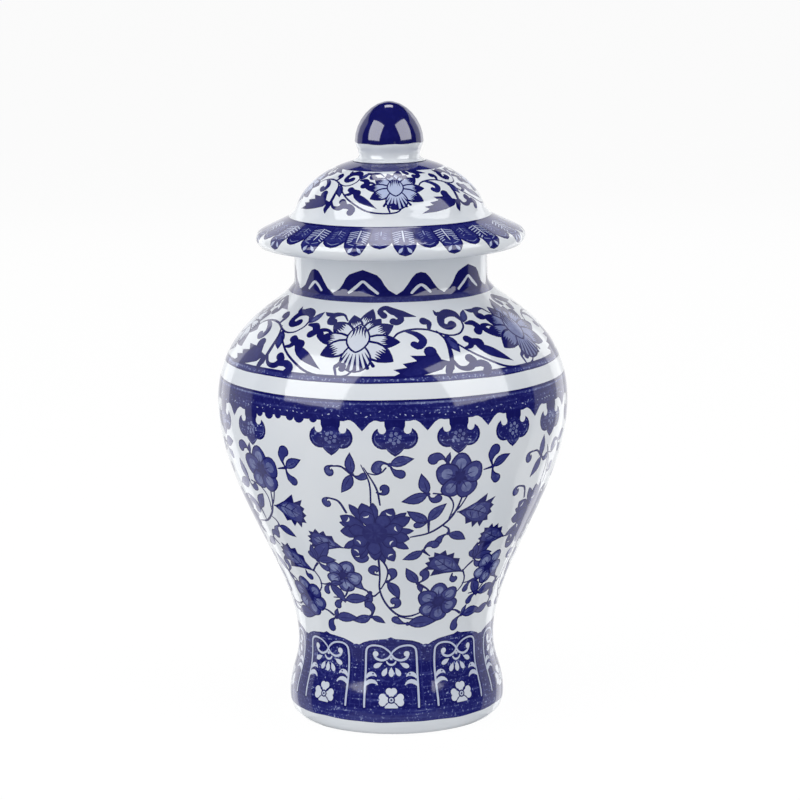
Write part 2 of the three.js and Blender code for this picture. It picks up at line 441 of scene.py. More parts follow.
class Painting:
    """Collects painted shapes on an unrolled wall, in the order they are laid down."""

    def __init__(self, wall):
        self.wall = wall
        self.shapes = []

    def lay(self, ink, angles, lengths, grain=0.0):
        """One shape: angles in radians and lengths up the wall in mm."""
        self.shapes.append((ink, grain, np.asarray(angles, float), np.asarray(lengths, float)))

    def motif(self, layers, degrees, height, turn=0.0, size=1.0, flip=False, grain=0.0):
        """A motif in mm, laid flat on the wall about a place."""
        base = self.wall.up(height)
        around = float(self.wall.radius(base))
        for ink, points in moved(layers, 0, turn, size, flip):
            self.lay(ink, np.radians(degrees) + points.real / around, base + points.imag, grain)

    def trail(self, ink, places, widths):
        """A stroke through places given as (degrees, height)."""
        line = np.array([np.radians(a) + 1j * self.wall.up(z) for a, z in places])
        around = self.wall.radius(line.imag).mean()
        path = smooth(line.real * around + 1j * line.imag, 5)
        points = ribbon(path, list(widths))
        self.lay(ink, points.real / around, points.imag)

    def patch(self, ink, places, grain=0.0):
        """A filled shape through places given as (degrees, height)."""
        line = np.array([np.radians(a) + 1j * self.wall.up(z) for a, z in places])
        self.lay(ink, line.real, line.imag, grain)

    def band(self, ink, low, high, grain=0.0, waver=0.0, beat=7):
        """A ring of colour between two heights, whose edges waver as a hand-held brush leaves them."""
        turn = np.radians(np.linspace(-180, 180, COLUMNS + 1))
        foot, top = self.wall.up(low), self.wall.up(high)
        ripple = waver * (np.sin(beat * turn) + 0.6 * np.sin((2 * beat + 3) * turn + 1.0))
        self.lay(
            ink,
            np.concatenate([turn, turn[::-1]]),
            np.concatenate([foot + ripple, top + 0.7 * ripple[::-1]]),
            grain,
        )

    def outlines(self, across):
        """Every shape as a closed run of points on the flat wall; one that crosses the back comes twice."""
        half_turn = np.pi * across
        for ink, grain, angles, lengths in self.shapes:
            points = evened(angles * across + 1j * np.clip(lengths, 0.02, self.wall.reach - 0.02))
            whole = abs(points.real).max() <= half_turn + 1e-6
            for lap in (0.0,) if whole else (-2 * half_turn, 0.0, 2 * half_turn):
                if (points.real + lap).min() < half_turn and (points.real + lap).max() > -half_turn:
                    yield ink, grain, points + lap

    def mesh(self, name):
        """The wall as a mesh whose faces follow every painted edge."""
        wall = self.wall
        across = float(wall.points.real.mean())
        half_turn = np.pi * across
        rows = np.linspace(0, wall.reach, max(2, int(round(wall.reach / ROW_PITCH))) + 1)
        columns = np.linspace(-half_turn, half_turn, COLUMNS + 1)
        grid = columns[None, :] + 1j * rows[:, None]
        place = np.arange(grid.size).reshape(grid.shape)
        border = (place[0], place[-1], place[:, 0], place[:, -1])
        frame_edges = [np.stack([line[:-1], line[1:]], 1) for line in border]
        shapes = list(self.outlines(across))
        points, edges, start = [grid.ravel()], frame_edges, grid.size
        for _, _, outline in shapes:
            index = np.arange(start, start + len(outline))
            points.append(outline)
            edges.append(np.stack([index, np.roll(index, -1)], 1))
            start += len(outline)
        spots = [Vector((p.real, p.imag)) for p in np.concatenate(points)]
        verts, _, tris, *_ = delaunay_2d_cdt(spots, np.concatenate(edges).tolist(), [], 0, 1e-4, False)
        flat_points = np.array([complex(*v) for v in verts])
        tris = np.array([list(t) for t in tris])
        middle = flat_points[tris].mean(1)
        keep = (np.abs(middle.real) < half_turn) & (middle.imag > 0) & (middle.imag < wall.reach)
        tris, middle = tris[keep], middle[keep]
        order = np.argsort(middle.real)
        inks, grains = np.zeros(len(tris)), np.zeros(len(tris))
        for ink, grain, outline in shapes:
            first, last = np.searchsorted(middle.real[order], [outline.real.min(), outline.real.max()])
            near = order[first:last]
            height = middle.imag[near]
            near = near[(height > outline.imag.min()) & (height < outline.imag.max())]
            covered = near[inside(outline, middle[near])]
            inks[covered], grains[covered] = ink, grain
        angle = np.clip(flat_points.real / across, -np.pi, np.pi)
        length = np.clip(flat_points.imag, 0, wall.reach)
        radius, height = wall.radius(length), wall.height(length)
        solid = np.stack([radius * np.sin(angle), -radius * np.cos(angle), height], 1) * MM
        mesh = bpy.data.meshes.new(name)
        mesh.from_pydata(solid.tolist(), [], tris.tolist())
        store(mesh, "ink", inks)
        store(mesh, "grain", grains)
        return mesh


def inside(outline, spots):
    """Which spots lie within an outline, even one that crosses itself."""
    start, end = outline[None, :], np.roll(outline, -1)[None, :]
    height = spots.imag[:, None]
    below, above = start.imag <= height, end.imag > height
    side = ((end - start).conj() * (spots[:, None] - start)).imag
    return (below & above & (side > 0)).sum(1) != (~below & ~above & (side < 0)).sum(1)


def store(mesh, name, values):
    """Keeps one value for each face of a mesh."""
    attribute = mesh.attributes.new(name, "FLOAT", "FACE")
    attribute.data.foreach_set("value", np.asarray(values, np.float32))


# ---------------------------------------------------------------- the body's outline
def body_outline():
    """The outside wall from the resting ring to the rim, and the rest back round the inside, in mm."""
    s = bpy.context.scene.jar_sizes
    foot = complex(s.foot_radius, s.foot_height) / MM
    waist = complex(s.waist_radius, s.waist_height) / MM
    belly = complex(s.belly_radius, s.belly_height) / MM
    neck = complex(s.neck_radius, s.neck_root) / MM
    rim, wall, recess = s.rim_height / MM, s.wall / MM, s.recess / MM
    rim_round, floor_fillet, ring_width = 1.4, 9.0, 4.5
    ring = s.ring_radius / MM + 0.5
    ring_edge = ring + 0.12j
    # each pair is how long the curve keeps upright at its two ends
    outside = run(
        quadratic(ring_edge, complex(foot.real, 0.8), foot, 14),
        upright(foot, waist, (9.8, 10), 24),
        upright(waist, belly, (30.2, 35.4), 60),
        upright(belly, neck, (34, 8.6), 70),
        complex(neck.real, rim - rim_round),
    )
    along = np.gradient(outside)
    inner = outside + 1j * along / np.abs(along) * wall
    floor_top = (s.recess + s.floor) / MM
    inner = inner[(inner.imag > floor_top + floor_fillet) & (inner.imag < rim - rim_round)][::-1]
    last = inner[-1]
    corner = complex(last.real, floor_top)
    floor_curve = quadratic(last, corner, last.real - floor_fillet + 1j * floor_top, 14)
    inner_neck = neck.real - wall
    lining = run(
        arc(complex(neck.real - rim_round, rim - rim_round), rim_round, 0, 90, 5),
        arc(complex(inner_neck + rim_round, rim - rim_round), rim_round, 90, 180, 5),
        inner[::4],
        floor_curve[::2],
        1j * floor_top,
    )
    ring_in = s.ring_radius / MM - ring_width
    base_corners = np.array([
        0.4 * ring_in + 1j * recess, ring_in - 1.5 + 1j * recess, ring_in - 0.2 + 0.02j, ring - 0.9 + 0.0j,
        ring_edge,
    ])
    base = run(1j * recess, corner_round(base_corners, 0.9))
    return outside, lining, base


# ---------------------------------------------------------------- the body's painting
BELLY_STEP = 72  # degrees from one great flower to the next
FOOT_PANELS = 9
RUYI_STEP = 20.5  # degrees from one cloud-headed lobe to the next
RUYI_LOBES = 17


def paint_foot(art):
    """Plain blue line round the foot, and a row of dark panels above it."""
    art.band(0.74, 6.6, 12.3, grain=0.55, waver=0.16)
    art.band(0.62, 8.0, 8.7, grain=0.4, waver=0.1, beat=5)
    middles = [-3 + 360 / FOOT_PANELS * k for k in range(FOOT_PANELS)]
    top = [(-20, 37.2), (-18.5, 37.0), (-16, 38.0), (-12, 39.0), (-6, 39.6), (-2.5, 39.8), (0, 40.6)]
    top += [(-a, z) for a, z in top[-2::-1]]
    outline = [(-20, 12.0)] + top + [(20, 12.0)]
    for middle in middles:
        art.patch(DEEP + 0.06, [(middle + a, z) for a, z in outline], grain=0.85)
    for middle in middles:
        paint_panel(art, middle)


def notched_petal(lobe, reach, spread, length, width):
    """A white petal that ends in two round lobes."""
    lobes = [disc(lobe, 12) + reach + 1j * side * spread for side in (1, -1)]
    return [(0.04, shape) for shape in lobes + [petal(length, width, 1.2, 0.6, 7)]]


def paint_panel(art, middle):
    """A white arch with a scroll and a fan of drops at its top and a small flower at its foot."""
    for side in (-1, 1):
        def at(a, z, side=side):
            return (middle + side * a, z)

        art.trail(0.62, [at(17.2, 12.6), at(17.2, 30), at(15.6, 36.2), at(10, 38.2), at(3, 38.6)],
                  (0.35, 0.35))
        art.trail(LINE, [at(14.6, 12.4), at(14.9, 24), at(14.6, 33)], (1.9, 1.9))
        art.trail(LINE, [at(1.6, 34.2), at(5, 36.4), at(9.5, 37.0), at(13.6, 35.4), at(14.6, 32)],
                  (1.6, 1.9, 1.9))
        art.trail(0.12, [at(14.6, 12.6), at(14.8, 24), at(14.6, 33.2), at(13.4, 36.0), at(10, 37.0),
                         at(5, 36.5), at(1.4, 34.8), at(0, 33.4)], (0.8, 0.8, 0.78, 0.75, 0.65))
        art.trail(0.1, [at(0, 33.4), at(1.8, 31.8), at(5.2, 30.9), at(8.6, 31.6), at(9.8, 33.2)],
                  (0.8, 0.85, 0.9, 1.0, 1.1))
        art.motif([(0.05, disc(1.15, 10))], *at(8.9, 33.5))
        for a, z, turn, length, width in ((3.4, 27.6, -62, 3.8, 2.0), (6.0, 29.4, -26, 4.0, 2.0)):
            drop = petal(length, width, 1.5, 0.55, 7)
            art.motif([(0.07, drop)], *at(a - 1.0, z + 0.4), turn=turn if side > 0 else 180 - turn)
        for z, bend in ((19.8, 2.9), (23.4, 2.1)):
            leaf = ribbon(arc(0, bend, 5, 150, 7), [0.3, 1.5, 1.8, 1.3, 0.3])
            art.motif([(0.08, leaf)], *at(11.0, z), flip=side < 0, turn=0 if side > 0 else 180)
        art.trail(0.66, [at(11.2, 13.2), at(11.6, 17), at(11.0, 19.4)], (0.4, 0.5, 0.3))
        for k in range(9):
            dot = disc(0.28 + 0.1 * (k % 3), 6)
            art.motif([(0.55, dot)], *at(12.2 - 0.25 * k, 33.5 - 1.15 * k))
            art.motif([(0.6, dot)], *at(8.8 - 0.9 * k, 25.8 - 0.8 * k + 0.05 * k * k))
        lobe = notched_petal(1.45, 2.9, 1.05, 3.4, 3.0)
        art.motif(lobe, middle + side * 0.9, 15.6, turn=0 if side > 0 else 180)
    art.motif([(0.06, petal(3.9, 2.1, 1.5, 0.55, 7))], middle, 28.2, turn=-90)
    fan = ribbon(arc(0, 1.9, 200, 340, 8), [0.6, 0.8, 0.6])
    art.motif([(0.08, fan), (0.08, disc(0.6, 9) + 0.6j)], middle, 31.0)
    art.motif(notched_petal(1.35, 2.7, 0.95, 3.2, 2.6), middle, 16.3, turn=90)
    art.patch(0.05, [(middle - 1.6, 14.4), (middle - 3.6, 12.9), (middle - 3.2, 12.4), (middle + 3.2, 12.4),
                     (middle + 3.6, 12.9), (middle + 1.6, 14.4)])
    art.motif([(LINE, disc(1.5, 12)), (0.1, disc(0.95, 10)), (LINE, disc(0.45, 8))], middle, 15.6)


def paint_ruyi(art):
    """The dark mottled band and the row of cloud-headed lobes that hang from it."""
    art.band(DEEP + 0.06, 132.6, 140.2, grain=0.6, waver=0.12)
    art.band(LINE, 139.7, 140.6, waver=0.1, beat=5)
    art.band(0.55, 138.9, 139.7, grain=0.3, waver=0.12, beat=4)
    middles = [-20 + RUYI_STEP * k for k in range(RUYI_LOBES)]
    for middle in middles:
        cloud = [(LINE, disc(4.4, 18) + x - 0.5j) for x in (-4.5, 4.5)]
        cloud += [(LINE, np.array([-4.0 + 6.6j, -3.6 - 3.4j, 3.6 - 3.4j, 4.0 + 6.6j])[::-1])]
        cloud += [(LINE, petal(9.2, 8.6, 0.8, 0.8, 9) * -1j + 1.4j)]
        art.motif(cloud, middle, 126.6)
        core = [(DEEP, disc(3.7, 16) + x - 0.5j) for x in (-4.5, 4.5)]
        core += [(DEEP, petal(8.0, 7.2, 0.8, 0.8, 9) * -1j + 1.2j), (DEEP, disc(3.4, 12) + 0.6j)]
        art.motif(core, middle, 126.6, grain=0.8)
        contour = [ribbon(arc(0, 3.1, 20, -80, 6) + 4.7 - 0.5j, [0.1, 0.4, 0.2])]
        contour.append(ribbon(smooth([3.6 - 4.0j, 2.2 - 5.4j, 0.2 - 6.6j], 4), [0.2, 0.4, 0.15]))
        art.motif([(0.5, line) for line in contour], middle, 126.6)
        art.motif([(0.5, -line.conj()[::-1]) for line in contour], middle, 126.6)
        ring_of_dots = [disc(0.75, 7) + 1.9 * np.exp(2j * np.pi * j / 6 + 0.3j) for j in range(6)]
        art.motif([(0.42, dot) for dot in ring_of_dots], middle, 126.0)
        art.motif([(0.42, disc(0.6, 7)), (LINE, disc(0.3, 6))], middle, 126.0)
    for middle in middles:
        for side in (-1, 1):
            curl = [(middle + side * a, z) for a, z in
                    ((10.0, 125.6), (9.4, 129.0), (7.8, 131.0), (5.9, 131.7), (4.5, 130.8), (4.0, 129.3))]
            art.trail(BARE, curl, (2.2, 2.6, 2.7, 2.6, 2.7, 3.0))
    for middle in middles[:-1]:
        join = middle + RUYI_STEP / 2
        art.patch(DEEP + 0.06, [(join - 4.6, 133.6), (join - 2.4, 132.0), (join, 128.8), (join + 2.4, 132.0),
                                (join + 4.6, 133.6)], grain=0.6)
    # small scallops close the stretch that has no lobe
    for k in range(6):
        scallop = disc(2.0 + 0.4 * np.sin(2 * k), 12)
        art.motif([(DEEP + 0.06, scallop)], -47.4 + 4.2 * k + 0.8 * np.sin(3 * k), 133.1)
    # pale flecks where the band was sponged on
    for k in range(168):
        degrees = -179 + 2.13 * k + 0.7 * np.sin(5.1 * k)
        height = 135.1 + 0.7 * np.sin(1.7 * k) + 0.5 * np.sin(4.3 * k)
        fleck = petal(0.9 + 0.5 * np.sin(3 * k), 0.5, 1.0, 0.8, 4)
        art.motif([(0.26 + 0.12 * np.sin(k), fleck)], degrees, height, turn=40 * np.sin(7 * k))


def paint_belly_cell(art, middle):
    """One repeat of the belly scroll: the great flower, its vines, two small flowers and their leaves."""
    def vine(widths, *places):
        art.trail(LINE, [(middle + a, z) for a, z in places], widths)

    def tuft(a, z, *arms):
        art.motif(sprig(*arms), middle + a, z)

    def grow(piece, a, z, turn=0.0, flip=False):
        art.motif(piece, middle + a, z, turn=turn, flip=flip)

    # stem above the great flower, drawn as two lines
    vine((0.77, 0.7, 0.42), (-0.6, 99), (-0.6, 108), (-3.0, 115.5))
    vine((0.77, 0.84, 0.42), (2.6, 99), (1.6, 106), (-2.2, 114.5))
    grow(ball(5.2, 160, 3.9), 1.6, 104.2, turn=-30)
    vine((0.56, 0.63, 0.7), (-1.4, 112.4), (1.4, 111.6), (3.6, 112.6), (5.0, 114.4))
    tuft(6.2, 115.6, (150, 6.0, 130), (14, 8.6), (-66, 5.4, 60))
    tuft(-6.2, 111.6, (92, 8.0), (238, 8.6), (-40, 4.4, 80))
    vine((1.12, 0.84, 0.7), (-7.0, 112.2), (-9.6, 114.6), (-13.0, 114.6))
    grow(ball(4.4, 150, 3.9), -12.4, 114.8, turn=-178)
    # vine to the right, up to the small round flower
    vine((0.7, 0.98, 0.98, 0.7), (13.5, 84.8), (21, 86.4), (27, 90.6), (30, 95.4), (31.8, 102.5))
    vine((0.7, 0.7, 0.63), (28.6, 93.4), (31.5, 97.0), (34.0, 102.6))
    vine((0.63, 0.7, 0.7), (27.4, 91.0), (28.6, 97.4), (26.0, 101.8), (20.8, 103.2))
    grow(jagged_leaf(15.5, 12.5), 30.6, 94.4, turn=-6)
    tuft(19.0, 103.0, (108, 8.6), (196, 9.6), (-74, 5.0, 120))
    tuft(19.8, 91.4, (148, 8.8), (50, 9.0), (224, 4.2, -60))
    vine((1.26, 0.7), (20.0, 91.0), (20.4, 86.6))
    vine((0.63, 0.84, 1.26), (25.4, 89.2), (28.0, 87.6), (28.6, 85.6))
    tuft(28.4, 85.4, (200, 4.8, 60), (-26, 8.2))
    tuft(25.0, 115.2, (118, 6.4, 110), (80, 4.2))
    grow(bloom(5, 9.8), 29.6, 109.2)
    tuft(41.6, 112.0, (118, 6.6, -80), (28, 8.0), (-86, 5.6, 60))
    vine((0.56, 1.12), (38.2, 111.2), (41.0, 111.8))
    # leaves between the great flower and the low flower
    tuft(19.0, 78.4, (74, 5.4, -110), (206, 8.0))
    vine((1.26, 0.56), (19.2, 78.2), (22, 76))
    grow(jagged_leaf(17.0, 10.5), 39.6, 67.2, turn=152)
    grow(ball(3.6, 90, 3.4), 34.2, 67.0, turn=-100)
    vine((0.56, 0.7, 0.7), (36.6, 56.4), (41.0, 60.4), (41.6, 64.2), (39.4, 68.0))
    vine((0.7, 0.84, 1.12), (39.4, 67.4), (41.4, 69.6), (43.4, 71.2))
    tuft(44.0, 72.6, (52, 11.5), (96, 7.0), (8, 8.0), (-70, 4.4, 60), (150, 3.6, -60))
    vine((0.56, 0.7, 1.12), (41.2, 62.0), (44.0, 62.0), (46.8, 62.6))
    tuft(47.0, 62.4, (-58, 8.8), (12, 5.6), (212, 4.2, 60))
    tuft(18.0, 64.0, (122, 8.2), (24, 5.4, 110), (-70, 4.8))
    vine((1.26, 0.84, 0.56), (18.4, 63.6), (22.4, 61.4), (25.2, 59.0))
    # long vine from the foot of the great flower to the low flower
    vine((0.84, 0.7, 0.84, 0.98, 0.84, 0.63), (0.6, 76.0), (0.6, 68), (0.0, 61.5), (2.6, 55.2), (8.6, 50.2),
         (15.5, 49.6), (22.6, 51.6))
    vine((0.84, 0.7, 0.56), (1.6, 75.6), (4.2, 70.4), (3.2, 65.6), (0.6, 61.8))
    vine((0.49, 0.63, 0.49), (8.6, 49.6), (15.5, 48.3), (23.5, 49.0))
    grow(ball(5.0, 170, 4.0), -0.1, 68.0, turn=176, flip=True)
    grow(ball(6.0, 170, 3.9), 4.2, 53.4, turn=-8)
    tuft(4.0, 65.0, (36, 5.2, 90), (-62, 8.6))
    grow(bloom(6, 9.4, 0.40, FILL, 96), 29.6, 55.0)
    vine((0.56, 0.84, 1.26), (36.4, 50.6), (40.6, 50.2), (44.0, 48.6))
    tuft(45.6, 47.6, (4, 9.0), (70, 4.2), (206, 5.4, 80))
    tuft(13.8, 46.2, (2, 10.6), (172, 4.6, -40))
    vine((0.63, 0.84, 1.26), (0.0, 60.6), (-3.2, 58.4), (-5.6, 60.0))
    tuft(-4.8, 60.0, (150, 8.0, -50), (-112, 7.0))
    tuft(-5.6, 49.4, (64, 5.2, 80), (196, 7.6), (-28, 5.6))
    # leaves and a curl on the left of the great flower
    vine((1.12, 0.98, 0.84), (-9.8, 95.4), (-12.0, 100.0), (-15.5, 101.2))
    grow(ball(4.4, 160, 3.7), -15.0, 101.2, turn=178)
    grow(jagged_leaf(14.5, 9.5), -13.6, 79.6, turn=166)
    grow(ball(7.4, 150, 4.2), -10.4, 78.0, turn=-84)
    grow(bloom(5, 8.2, 0.42, WASH + 0.12, 60), -16.8, 67.0)
    vine((0.7, 0.84, 0.56), (-15.0, 62.0), (-18.6, 57.4), (-25.0, 56.6))
    tuft(-18.6, 56.0, (8, 9.4), (190, 4.6, 70))
    grow(great_bloom(14.6), 0, 86.6)


def paint_belly(art):
    """Five repeats of the belly scroll."""
    for k in range(5):
        paint_belly_cell(art, -7.5 + BELLY_STEP * k)


def scroll_cell(art, middle, height, size, bold, wash, tip):
    """One repeat of the lotus scroll, in mm about the lotus, for the shoulder and the lid's dome."""
    def draw(layers, x=0.0, y=0.0, turn=0.0):
        art.motif(moved(layers, x + 1j * y, turn), middle, height, size=size)

    def stroke(places, widths, ink=LINE):
        line = smooth([x + 1j * y for x, y in places], 4)
        art.motif([(ink, ribbon(line, bold * np.array(widths)))], middle, height, size=size)

    # the upper vine and its volute
    stroke([(13, 0), (16, 3.4), (22, 5.0), (28, 4.4), (33, 2.0), (37, 0.8), (41, 1.6), (44, 4.6),
            (44.8, 8.4)],
           (0.6, 0.9, 0.9, 0.8, 0.7, 0.7, 0.9))
    stroke([(45.0, 7.4), (43.4, 11.4), (39.6, 12.4), (36.0, 10.6), (34.8, 6.8), (37.2, 5.0), (39.6, 6.4)],
           (1.0, 3.2, 3.8, 3.2, 2.6, 2.6, 3.2))
    stroke([(37.0, 12.0), (34.4, 12.4), (33.6, 14.4)], (2.4, 2.2, 0.4))
    draw(edged(petal(8.2, 3.6, 0.9, 1.0, 8), 0.7, FILL, DEEP), 45.2, 6.6, 56)
    stroke([(46.0, 6.0), (49.4, 5.8), (51.0, 3.2), (49.4, 1.4)], (1.2, 2.8, 3.0, 3.2))
    stroke([(28.4, 4.6), (29.2, 7.8), (27.2, 9.0)], (1.2, 2.4, 3.4))
    # the leaf bud and the long lower vine
    draw(edged(petal(9.6, 4.6, 0.9, 1.0, 8), 0.8, FILL, DEEP), 34.0, 1.4, -66)
    stroke([(36.0, -1.4), (42, -7.4), (48, -11.8), (54, -15.2), (61, -16.4), (67.5, -15.8), (70.6, -12.8)],
           (0.7, 0.8, 0.8, 0.7, 0.6))
    stroke([(40.4, -5.6), (42.8, -5.0), (44.0, -2.8), (42.6, -1.6)], (0.9, 1.8, 2.6, 3.0))
    draw(edged(petal(16.5, 4.2, 0.7, 1.2, 9), 0.5, DEEP), 45.0, -4.6, -34)
    stroke([(47.2, -6.4), (47.6, -3.6), (45.4, -3.2)], (2.2, 2.6, 3.0))
    stroke([(64.4, -15.6), (63.6, -12.0), (66.4, -11.4), (66.2, -13.0)], (0.7, 1.0, 1.6, 2.2), DEEP)
    # the drooping vine, its barb and the curls on its right
    stroke([(31.4, 3.4), (33.8, -1.0), (34.2, -7.0), (33.4, -13.6)], (0.7, 0.9, 1.5, 1.4))
    stroke([(33.0, -12.0), (32.0, -15.2), (32.2, -17.6)], (2.6, 2.2, 0.3))
    stroke([(33.8, -9.4), (36.0, -13.4), (39.6, -14.0), (41.8, -11.6), (40.6, -10.0)],
           (0.8, 1.3, 2.2, 2.6, 3.0))
    stroke([(40.8, -13.2), (44.4, -12.6), (46.6, -14.2), (45.8, -16.2)], (1.6, 2.6, 2.6, 2.8), DEEP)
    # the dark jagged leaf that hangs below the vine
    leaf = [(33.0, -10.6), (30.2, -9.6), (29.0, -6.0), (26.0, -5.0), (24.8, -7.6), (19.4, -7.4), (21.6, -9.8),
            (16.6, -10.8), (18.0, -12.4), (13.4, -13.2), (15.6, -14.6), (11.6, -17.0), (18.6, -16.6),
            (24.6, -15.4), (29.8, -13.8)]
    points = np.array([x + 1j * y for x, y in leaf])
    draw(edged(points, 0.7, DEEP))
    draw([(LINE, disc(2.4, 12)), (DEEP, disc(1.7, 12))], 26.8, -6.0)
    # the spiral under the vine
    stroke([(18.0, 4.4), (22.6, 2.6), (25.0, -0.6), (23.2, -3.4), (21.4, -2.4)], (0.8, 2.2, 2.8, 2.6, 2.6),
           DEEP)
    # curled leaves above and on the left of the lotus
    stroke([(9.6, 12.4), (7.4, 14.8), (10.0, 16.6), (13.6, 14.8), (18.6, 13.2), (24.4, 11.6)],
           (2.8, 2.2, 2.0, 3.4, 3.0, 0.3))
    stroke([(13.6, 14.0), (17.4, 11.0), (15.6, 8.8), (13.8, 9.4)], (1.2, 2.6, 2.6, 3.0))
    stroke([(-6.6, 9.4), (-9.4, 12.4), (-14.0, 12.0), (-14.8, 8.8), (-13.2, 8.4)], (0.6, 1.0, 2.6, 3.0, 3.2))
    stroke([(-13.8, 12.0), (-17.6, 12.2), (-19.8, 13.2)], (2.0, 1.8, 0.3))
    stroke([(-11.0, 2.4), (-14.0, 4.0), (-17.0, 3.4), (-16.2, 1.4)], (0.8, 1.4, 2.2, 2.8))
    draw(lotus(wash, tip, 1.3))


def paint_shoulder(art):
    """The lotus scroll between two blue rings, every second lotus filled with a blue wash."""
    art.band(0.92, 146.6, 149.3, grain=0.3, waver=0.1, beat=6)
    art.band(0.62, 147.2, 148.5, grain=0.5, waver=0.1, beat=5)
    for k in range(5):
        wash, tip = ((0.05, LINE), (0.4, LINE))[k % 2]
        scroll_cell(art, -13.5 + BELLY_STEP * k, 161.6, 1.0, 1.15, wash, tip)
    art.band(0.8, 173.7, 176.3, grain=0.35, waver=0.08, beat=5)


def paint_neck(art):
    """Mountain lappets round the foot of the neck, large and small by turns."""
    # four stand 34 degrees apart, and six more share out the rest of the ring
    places = list(range(4)) + list(np.linspace(3, 3 + 258 / 34, 8)[1:-1])
    for k, place in enumerate(places):
        middle = -50.5 + 34 * place
        if k % 2:
            half = [(0, 186.0), (4.5, 185.0), (8.4, 184.0), (10.8, 182.4), (12.6, 180.2), (15.0, 178.2),
                    (19.5, 176.4)]
            chevron, rise = 8.6, 181.4
        else:
            half = [(0, 184.9), (3.0, 184.4), (5.6, 182.6), (7.8, 180.4), (10.6, 178.0), (14.6, 176.4)]
            chevron, rise = 5.6, 179.9
        foot = half[-1][0]
        lappet = [(-a, z) for a, z in half[:0:-1]] + half + [(foot, 175.6), (-foot, 175.6)]
        art.patch(LINE, [(middle + a, z) for a, z in lappet])
        flank = 179.0 + 0.3 * (rise - 180)
        arch = [(-1, 177.0), (-0.45, flank), (0, rise), (0.45, flank), (1, 177.0)]
        art.trail(0.04, [(middle + a * chevron, z) for a, z in arch], (1.1, 1.25, 1.0, 1.25, 1.1))
        for ink, share, low, drop in ((LINE, 0.62, 176.9, 1.6), (0.6, 0.3, 177.1, 2.8)):
            half_peak = share * chevron
            art.patch(ink, [(middle - half_peak, low), (middle, rise - drop), (middle + half_peak, low)])


# ---------------------------------------------------------------- the lid's outline and painting
def lid_outline():
    """The outside from the brim's lip to the knob's landing, and the rest round the inside, in mm."""
    s = bpy.context.scene.lid_sizes
    neck = bpy.context.scene.jar_sizes.neck_radius / MM
    wall_under = bpy.context.scene.jar_sizes.wall / MM
    seat = s.seat / MM
    lip_round, drop, lid_wall = 3.4, 1.8, 4.0
    flange_clearance, flange_width, flange_depth = 1.2, 3.6, 10
    landing, socket_radius, socket_depth, boss = 13.2, 5.8, 2.5, 9.8
    lip = complex(s.brim_radius / MM - lip_round, seat - drop + lip_round)
    dome_foot = 1j * (seat + 9.0)
    dome_radius, dome_height = s.dome_radius / MM, s.dome_height / MM
    squash = dome_height / dome_radius
    root = complex(dome_radius + 2, seat + 10.2)
    ray = lip - root
    tangent = 90 + np.degrees(np.angle(ray) + np.arcsin(lip_round / abs(ray)))
    dome = arc(dome_foot, dome_radius, 9, np.degrees(np.arccos(landing / dome_radius)), 40, squash)
    lip_arc = arc(lip, lip_round, -60, tangent, 14)
    blend = corner_round(np.array([0.35 * lip_arc[-1] + 0.65 * root, root, dome[0], dome[2]]), 1.1, 4)
    outside = run(lip_arc, blend, dome[3:])
    crown = outside[-1]
    socket_floor = 1j * (crown.imag - socket_depth)
    socket_rim = socket_radius + 1j * crown.imag
    top = run(crown, crown - 2.0 - 0.1j, socket_rim, socket_radius + socket_floor, socket_floor)
    boss_foot = crown.imag - 6.5
    inner_radius, inner_height = dome_radius - lid_wall, dome_height - lid_wall
    under = arc(dome_foot, inner_radius, 90, 0, 24, inner_height / inner_radius)
    under = under[under.real > boss + 1.5]
    flange_out = neck - wall_under - flange_clearance
    flange_in = flange_out - flange_width
    flange_foot = seat - flange_depth
    flange = np.array([
        under[-1], complex(flange_in, seat + lid_wall), complex(flange_in, flange_foot),
        complex(flange_out, flange_foot), complex(flange_out, seat - 0.05), complex(neck + 5.4, seat),
        lip_arc[0] - 1.2 - 0.5j, lip_arc[0],
    ])
    lining = run(
        1j * boss_foot,
        boss - 1 + 1j * boss_foot,
        boss + 0.6 + 1j * (boss_foot + 0.3),
        under,
        corner_round(flange, 0.9),
    )
    return outside, top, lining


BRIM_LEAVES = 17


